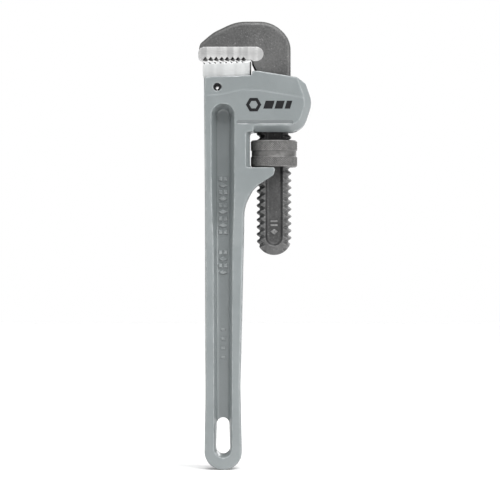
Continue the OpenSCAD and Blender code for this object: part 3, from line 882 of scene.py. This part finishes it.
nut = {
    "around": 80,              # diamonds round the nut
    "perDiamond": 8,           # mesh cells across one diamond
    "depth": 0.42 * mm,
    "flat": 0.82,              # share of the diamond's height that is kept
    "groove": 3.0 * mm,
    "grooveDepth": 0.5 * mm,
    "bevel": 0.8 * mm,
    "collar": 0.5 * mm,        # flat ring of the end face beside the bevel
    "wall": 2.0 * mm,          # thickness of the knurled sleeve
    "inset": 0.01 * mm,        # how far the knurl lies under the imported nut's outside
    "overlap": 0.2 * mm,       # of the sleeve and the core
    "coreInset": 0.02 * mm,    # of the core's end faces under the sleeve's
    "coreSegments": 192,
    "coreLength": 50 * mm,     # more than the nut is high, so that only the side is cut
}
nutAxis = Vector(((nutLow.x + nutHigh.x) / 2, 0, 0))
nutRadius = (nutHigh.x - nutLow.x) / 2 - nut["inset"]
wallRadius = nutRadius - nut["wall"]


def newShapeTree(name, inputs, ends):
    # a Geometry Nodes tree with the named inputs, and its Geometry input and output first
    tree = bpy.data.node_groups.new(name, "GeometryNodeTree")
    tree.interface.new_socket(name="Geometry", in_out="INPUT", socket_type="NodeSocketGeometry")
    for label, kind in inputs:
        tree.interface.new_socket(name=label, in_out="INPUT", socket_type=kind)
    tree.interface.new_socket(name="Geometry", in_out="OUTPUT", socket_type="NodeSocketGeometry")
    source = addNode(tree, "NodeGroupInput", (ends[0], 0))
    sink = addNode(tree, "NodeGroupOutput", (ends[1], 0))
    return tree, source, sink


def endShapeTree(tree, source, sink, shape, at):
    # Realize Instances, then the finish
    realize = addNode(tree, "GeometryNodeRealizeInstances", at)
    tree.links.new(shape, realize.inputs[0])
    finish = addNode(tree, "GeometryNodeSetMaterial", (at[0] + 150, at[1]))
    tree.links.new(realize.outputs[0], finish.inputs["Geometry"])
    tree.links.new(source.outputs["Finish"], finish.inputs["Material"])
    tree.links.new(finish.outputs[0], sink.inputs["Geometry"])


def makeKnurlTree():
    # pushes the surface in along two crossing sets of helical grooves, where the attribute knurl is 1
    tree, source, sink = newShapeTree(
        "knurl",
        [("Around", "NodeSocketFloat"), ("Pitch", "NodeSocketFloat"), ("Depth", "NodeSocketFloat"),
         ("Flat", "NodeSocketFloat"), ("Axis", "NodeSocketVector"), ("Finish", "NodeSocketMaterial")],
        (-1400, 1300),
    )
    position = addNode(tree, "GeometryNodeInputPosition", (-1400, -300))
    local = addNode(tree, "ShaderNodeVectorMath", (-1200, -200), operation="SUBTRACT")
    tree.links.new(position.outputs[0], local.inputs[0])
    tree.links.new(source.outputs["Axis"], local.inputs[1])
    split = addNode(tree, "ShaderNodeSeparateXYZ", (-1000, -200))
    tree.links.new(local.outputs[0], split.inputs[0])
    turn = mathNode(tree, "ARCTAN2", (-800, -100), split.outputs["Y"], split.outputs["X"])
    share = mathNode(tree, "DIVIDE", (-650, -100), turn, 2 * math.pi)
    across = mathNode(tree, "MULTIPLY", (-500, -100), share, source.outputs["Around"])
    along = mathNode(tree, "DIVIDE", (-800, -350), split.outputs["Z"], source.outputs["Pitch"])
    heights = []
    for k, operation in enumerate(("ADD", "SUBTRACT")):
        way = mathNode(tree, operation, (-300, -100 - 250 * k), across, along)
        wrapped = mathNode(tree, "FRACT", (-150, -100 - 250 * k), way)
        centred = mathNode(tree, "SUBTRACT", (0, -100 - 250 * k), wrapped, 0.5)
        distance = mathNode(tree, "ABSOLUTE", (150, -100 - 250 * k), centred)
        heights.append(mathNode(tree, "MULTIPLY", (300, -100 - 250 * k), distance, 2.0))
    rise = mathNode(tree, "MINIMUM", (450, -200), *heights)
    topped = mathNode(tree, "MINIMUM", (600, -200), rise, source.outputs["Flat"])
    drop = mathNode(tree, "SUBTRACT", (700, -200), topped, source.outputs["Flat"])
    mask = addNode(tree, "GeometryNodeInputNamedAttribute", (450, -450), data_type="FLOAT")
    mask.inputs["Name"].default_value = "knurl"
    masked = mathNode(tree, "MULTIPLY", (800, -300), drop, mask.outputs["Attribute"])
    pushed = mathNode(tree, "MULTIPLY", (850, -450), masked, source.outputs["Depth"])
    flatWay = addNode(tree, "ShaderNodeCombineXYZ", (-800, 200))
    tree.links.new(split.outputs["X"], flatWay.inputs["X"])
    tree.links.new(split.outputs["Y"], flatWay.inputs["Y"])
    outward = addNode(tree, "ShaderNodeVectorMath", (-600, 200), operation="NORMALIZE")
    tree.links.new(flatWay.outputs[0], outward.inputs[0])
    shift = addNode(tree, "ShaderNodeVectorMath", (900, 200), operation="SCALE")
    tree.links.new(outward.outputs[0], shift.inputs[0])
    tree.links.new(pushed, shift.inputs["Scale"])
    move = addNode(tree, "GeometryNodeSetPosition", (950, 0))
    tree.links.new(source.outputs["Geometry"], move.inputs["Geometry"])
    tree.links.new(shift.outputs[0], move.inputs["Offset"])
    endShapeTree(tree, source, sink, move.outputs[0], (1000, -100))
    return tree


def runNodes(obj, tree, **values):
    # sets each input by its socket's identifier, then keeps the result as a plain mesh
    mod = obj.modifiers.new("shape", "NODES")
    mod.node_group = tree
    for item in tree.interface.items_tree:
        if item.in_out == "INPUT" and item.name in values:
            mod[item.identifier] = values[item.name]
    return bake(obj)


def nutProfile():
    # [radius, height, knurl] from the lower inner corner, round the outside, to the upper inner corner
    r, low, high = nutRadius, nutLow.z, nutHigh.z
    mid = (low + high) / 2
    g, d, b = nut["groove"] / 2, nut["grooveDepth"], nut["bevel"]
    cell = 2 * math.pi * r / nut["around"] / nut["perDiamond"]
    collar = r - b - nut["collar"]
    points = [(wallRadius, low, 0), (collar, low, 0), (r - b, low, 0), (r - b / 2, low + b / 2, 0)]

    def band(start, end):
        # knurled rows, with a plain one at either end
        rows = max(2, round((end - start) / cell))
        heights = [start + (end - start) * k / rows for k in range(rows + 1)]
        return [(r, z, 0.0 if z in (heights[0], heights[-1]) else 1.0) for z in heights]

    points += band(low + b, mid - g - d)
    points += [(r - d / 2, mid - g - d / 2, 0), (r - d, mid - g, 0), (r - d, mid, 0), (r - d, mid + g, 0)]
    points += [(r - d / 2, mid + g + d / 2, 0)]
    points += band(mid + g + d, high - b)
    points += [(r - b / 2, high - b / 2, 0), (r - b, high, 0), (collar, high, 0), (wallRadius, high, 0)]
    return points


def makeNut():
    # knurled sleeve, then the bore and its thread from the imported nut, cut to fit inside it
    profile = nutProfile()
    count = nut["around"] * nut["perDiamond"]
    bm = bmesh.new()
    knurl = bm.verts.layers.float.new("knurl")
    rings = []
    for radius, z, mask in profile:
        ring = []
        for k in range(count):
            a = 2 * math.pi * k / count
            v = bm.verts.new((nutAxis.x + radius * math.cos(a), radius * math.sin(a), z))
            v[knurl] = mask
            ring.append(v)
        rings.append(ring)
    rings.append(rings[0])
    for low, high in zip(rings, rings[1:]):
        for k in range(count):
            bm.faces.new((low[k], low[(k + 1) % count], high[(k + 1) % count], high[k]))
    bmesh.ops.recalc_face_normals(bm, faces=bm.faces)
    sleeve = objectFrom(bm, "knurledNut")
    pitch = 2 * math.pi * nutRadius / nut["around"]
    runNodes(
        sleeve, makeKnurlTree(), Around=float(nut["around"]), Pitch=pitch, Depth=nut["depth"],
        Flat=nut["flat"], Axis=nutAxis, Finish=nutSteel,
    )
    core = copyNode("adjusting_nut", "nutCore")
    bm = bmesh.new()
    coreRadius = wallRadius + nut["overlap"]
    bmesh.ops.create_cone(
        bm, cap_ends=True, segments=nut["coreSegments"], radius1=coreRadius, radius2=coreRadius,
        depth=nut["coreLength"],
    )
    bmesh.ops.translate(bm, verts=bm.verts, vec=(nutAxis.x, 0, (nutLow.z + nutHigh.z) / 2))
    cutter = objectFrom(bm, "cutter")
    addModifier(core, "BOOLEAN", operation="INTERSECT", object=cutter, solver="EXACT")
    bake(core)
    bpy.data.objects.remove(cutter)
    for v in core.data.vertices:
        # the core's end faces sit a hair inside the sleeve's
        v.co.z = min(max(v.co.z, nutLow.z + nut["coreInset"]), nutHigh.z - nut["coreInset"])
    joinInto(sleeve, core)
    shadeSmooth(sleeve, 40)
    finishPiece(sleeve, nutSteel, "nut", "adjusting_nut")


makeNut()
print("nut knurled")


spring = {
    "turns": 6,
    "wire": 0.4 * mm,          # half the wire's thickness
    "endGap": 1.1,             # from the coil's end to the wire's middle, in half thicknesses
    "around": 40,              # mesh steps in one turn
    "section": 16,             # and round the wire
}


def makeCoilTree():
    # a wire of round section, wound on a spiral along X
    tree, source, sink = newShapeTree(
        "coil",
        [("Turns", "NodeSocketFloat"), ("Radius", "NodeSocketFloat"), ("Length", "NodeSocketFloat"),
         ("Wire", "NodeSocketFloat"), ("Start", "NodeSocketVector"), ("Finish", "NodeSocketMaterial")],
        (-900, 700),
    )
    spiral = addNode(tree, "GeometryNodeCurveSpiral", (-600, 0))
    spiral.inputs["Resolution"].default_value = spring["around"]
    for label, socket in (
        ("Turns", "Rotations"), ("Radius", "Start Radius"), ("Radius", "End Radius"), ("Length", "Height"),
    ):
        tree.links.new(source.outputs[label], spiral.inputs[socket])
    circle = addNode(tree, "GeometryNodeCurvePrimitiveCircle", (-600, -300))
    circle.inputs["Resolution"].default_value = spring["section"]
    tree.links.new(source.outputs["Wire"], circle.inputs["Radius"])
    wire = addNode(tree, "GeometryNodeCurveToMesh", (-300, 0))
    wire.inputs["Fill Caps"].default_value = True
    tree.links.new(spiral.outputs[0], wire.inputs["Curve"])
    tree.links.new(circle.outputs[0], wire.inputs["Profile Curve"])
    turned = addNode(tree, "GeometryNodeTransform", (0, 0))
    turned.inputs["Rotation"].default_value = (0, math.pi / 2, 0)
    tree.links.new(wire.outputs[0], turned.inputs["Geometry"])
    tree.links.new(source.outputs["Start"], turned.inputs["Translation"])
    endShapeTree(tree, source, sink, turned.outputs[0], (250, 0))
    return tree


def makeCoil():
    low, high = (Vector(c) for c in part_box("coil_spring"))
    wire = spring["wire"]
    gap = spring["endGap"] * wire
    obj = newObject("coilSpring", bpy.data.meshes.new("coilSpring"))
    runNodes(
        obj, makeCoilTree(), Turns=float(spring["turns"]), Radius=(high.z - low.z) / 2 - wire,
        Length=high.x - low.x - 2 * gap, Wire=wire,
        Start=(low.x + gap, 0.0, (low.z + high.z) / 2), Finish=springSteel,
    )
    shadeSmooth(obj, 50)
    finishPiece(obj, springSteel, "handle", "coil_spring")


makeCoil()
makeEdgedPiece("flat_spring", "leafSpring", springSteel, "spring_leaf", smallBevel["spring"])
makeEdgedPiece("spring_rivet", "guideRivet", springSteel, "spring_leaf", smallBevel["spring"])
print("springs set")


printMark = {
    "at": (17.0 * mm, 18.8 * mm),      # of the ring: along X, and down from the housing's top
    "thick": 0.04 * mm,
    "lift": 0.01 * mm,
    "root": 0.25 * mm,         # how far the ink's solid reaches under the face
    "hexRadius": 4.3 * mm,
    "hexHole": 0.55,           # share of the radius that is open
    "blocks": ((6.0, 5.0), (12.2, 4.4), (17.8, 3.0)),     # start and length of each slanted block
    "blockHeight": 4.4 * mm,
    "lean": 0.3,
}


def makeMark():
    # a plain hexagon ring and three slanted blocks, laid on the housing's face
    face = handleLow.y
    cx, cz = printMark["at"][0], handleHigh.z - printMark["at"][1]
    y0, y1 = face + printMark["root"], face - printMark["lift"] - printMark["thick"]
    bm = bmesh.new()

    def slab(loop, inner=None):
        outer = [[bm.verts.new((x, y, z)) for x, z in loop] for y in (y0, y1)]
        n = len(loop)
        for k in range(n):
            bm.faces.new((outer[0][k], outer[0][(k + 1) % n], outer[1][(k + 1) % n], outer[1][k]))
        if inner is None:
            bm.faces.new(outer[0][::-1])
            bm.faces.new(outer[1])
            return
        ring = [[bm.verts.new((x, y, z)) for x, z in inner] for y in (y0, y1)]
        for k in range(n):
            j = (k + 1) % n
            bm.faces.new((ring[0][j], ring[0][k], ring[1][k], ring[1][j]))
            bm.faces.new((outer[0][j], outer[0][k], ring[0][k], ring[0][j]))
            bm.faces.new((outer[1][k], outer[1][j], ring[1][j], ring[1][k]))

    def hexagon(radius):
        turns = [math.radians(60 * k) for k in range(6)]
        return [(cx + radius * math.cos(a), cz + radius * math.sin(a)) for a in turns]

    slab(hexagon(printMark["hexRadius"]), hexagon(printMark["hexRadius"] * printMark["hexHole"]))
    half = printMark["blockHeight"] / 2
    slant = printMark["lean"] * half
    for start, length in printMark["blocks"]:
        x0, x1 = cx + start * mm, cx + (start + length) * mm
        upper, lower = cz + half, cz - half
        slab([(x0 + slant, upper), (x1 + slant, upper), (x1 - slant, lower), (x0 - slant, lower)])
    bmesh.ops.recalc_face_normals(bm, faces=bm.faces)
    finishPiece(objectFrom(bm, "printedMark"), printInk, "handle")


makeMark()
print("mark printed")


studio = {
    "floorRadius": 3.0,
    "floor": (0.94, 0.94, 0.94, 1),
    "floorRoughness": 0.9,
    "dim": 0.24,               # light that the surroundings give from the front
    "bright": 0.8,             # and from the sides
    "sun": 2.6,
    "sunSpread": 50,           # degrees
    "sunTilt": (28, 10),       # degrees about X and Y
    "lights": (
        ("left", (-0.95, -0.6, 0.35), (0.08, 1.2), 3.8),
        ("right", (0.85, -0.7, 0.35), (0.08, 1.2), 7.0),
        ("top", (0.0, -0.75, 0.95), (1.2, 0.08), 3.0),
        ("back", (0.5, 1.0, 0.6), (0.3, 1.0), 4.0),
    ),
    "aim": (0.02, 0, 0.13),    # point that the lights look at
    "centre": (0.015, 0.1223), # X and Z of the camera's axis
    "distance": 1.5,
    "frameHeight": 0.2793,     # height of the object's plane that the camera takes in
}


def makeFloor():
    bm = bmesh.new()
    bmesh.ops.create_circle(bm, cap_ends=True, segments=96, radius=studio["floorRadius"])
    bmesh.ops.translate(bm, verts=bm.verts, vec=(studio["centre"][0], 0, cadLow.z))
    obj = objectFrom(bm, "floor")
    mat, tree, shader = startMaterial("floorPaper", 0.0, studio["floorRoughness"])
    shader.inputs["Base Color"].default_value = studio["floor"]
    obj.data.materials.append(mat)


def makeLight(name, at, size, power):
    data = bpy.data.lights.new(name, "AREA")
    data.shape = "RECTANGLE"
    data.size, data.size_y = size
    data.energy = power
    obj = bpy.data.objects.new(name, data)
    bpy.context.scene.collection.objects.link(obj)
    obj.location = at
    obj.rotation_mode = "QUATERNION"
    obj.rotation_quaternion = (Vector(studio["aim"]) - Vector(at)).to_track_quat("-Z", "Y")


def makeWorld():
    # plain white behind the object, and a room brighter at its sides for the light and the reflections
    world = bpy.data.worlds.new("studio")
    world.use_nodes = True
    tree = world.node_tree
    background = tree.nodes["Background"]
    coords = addNode(tree, "ShaderNodeTexCoord", (-900, 0))
    split = addNode(tree, "ShaderNodeSeparateXYZ", (-700, 0))
    tree.links.new(coords.outputs["Generated"], split.inputs[0])
    sideways = mathNode(tree, "ABSOLUTE", (-500, 0), split.outputs["X"])
    soft = rangeNode(tree, sideways, (-300, 0), 0.25, 1.0, studio["dim"], studio["bright"])
    path = addNode(tree, "ShaderNodeLightPath", (-300, 300))
    seen = addNode(tree, "ShaderNodeMix", (0, 0), data_type="FLOAT")
    tree.links.new(path.outputs["Is Camera Ray"], seen.inputs[0])
    tree.links.new(soft, seen.inputs[2])
    seen.inputs[3].default_value = 1.0
    background.inputs["Color"].default_value = (1, 1, 1, 1)
    tree.links.new(seen.outputs[0], background.inputs["Strength"])
    bpy.context.scene.world = world


def makeSun():
    sun = bpy.data.lights.new("sky", "SUN")
    sun.energy = studio["sun"]
    sun.angle = math.radians(studio["sunSpread"])
    obj = bpy.data.objects.new("sky", sun)
    bpy.context.scene.collection.objects.link(obj)
    tiltX, tiltY = studio["sunTilt"]
    obj.rotation_euler = (math.radians(tiltX), math.radians(tiltY), 0)


def makeCamera():
    x, z = studio["centre"]
    data = bpy.data.cameras.new("camera")
    data.lens = data.sensor_width * studio["distance"] / studio["frameHeight"]
    data.clip_start, data.clip_end = 0.01, 20
    obj = bpy.data.objects.new("camera", data)
    bpy.context.scene.collection.objects.link(obj)
    obj.location = (x, -studio["distance"], z)
    obj.rotation_euler = (math.pi / 2, 0, 0)
    bpy.context.scene.camera = obj


bpy.context.scene.view_settings.view_transform = "Standard"
makeFloor()
makeWorld()
makeSun()
for light in studio["lights"]:
    makeLight(*light)
makeCamera()
print("studio lit")
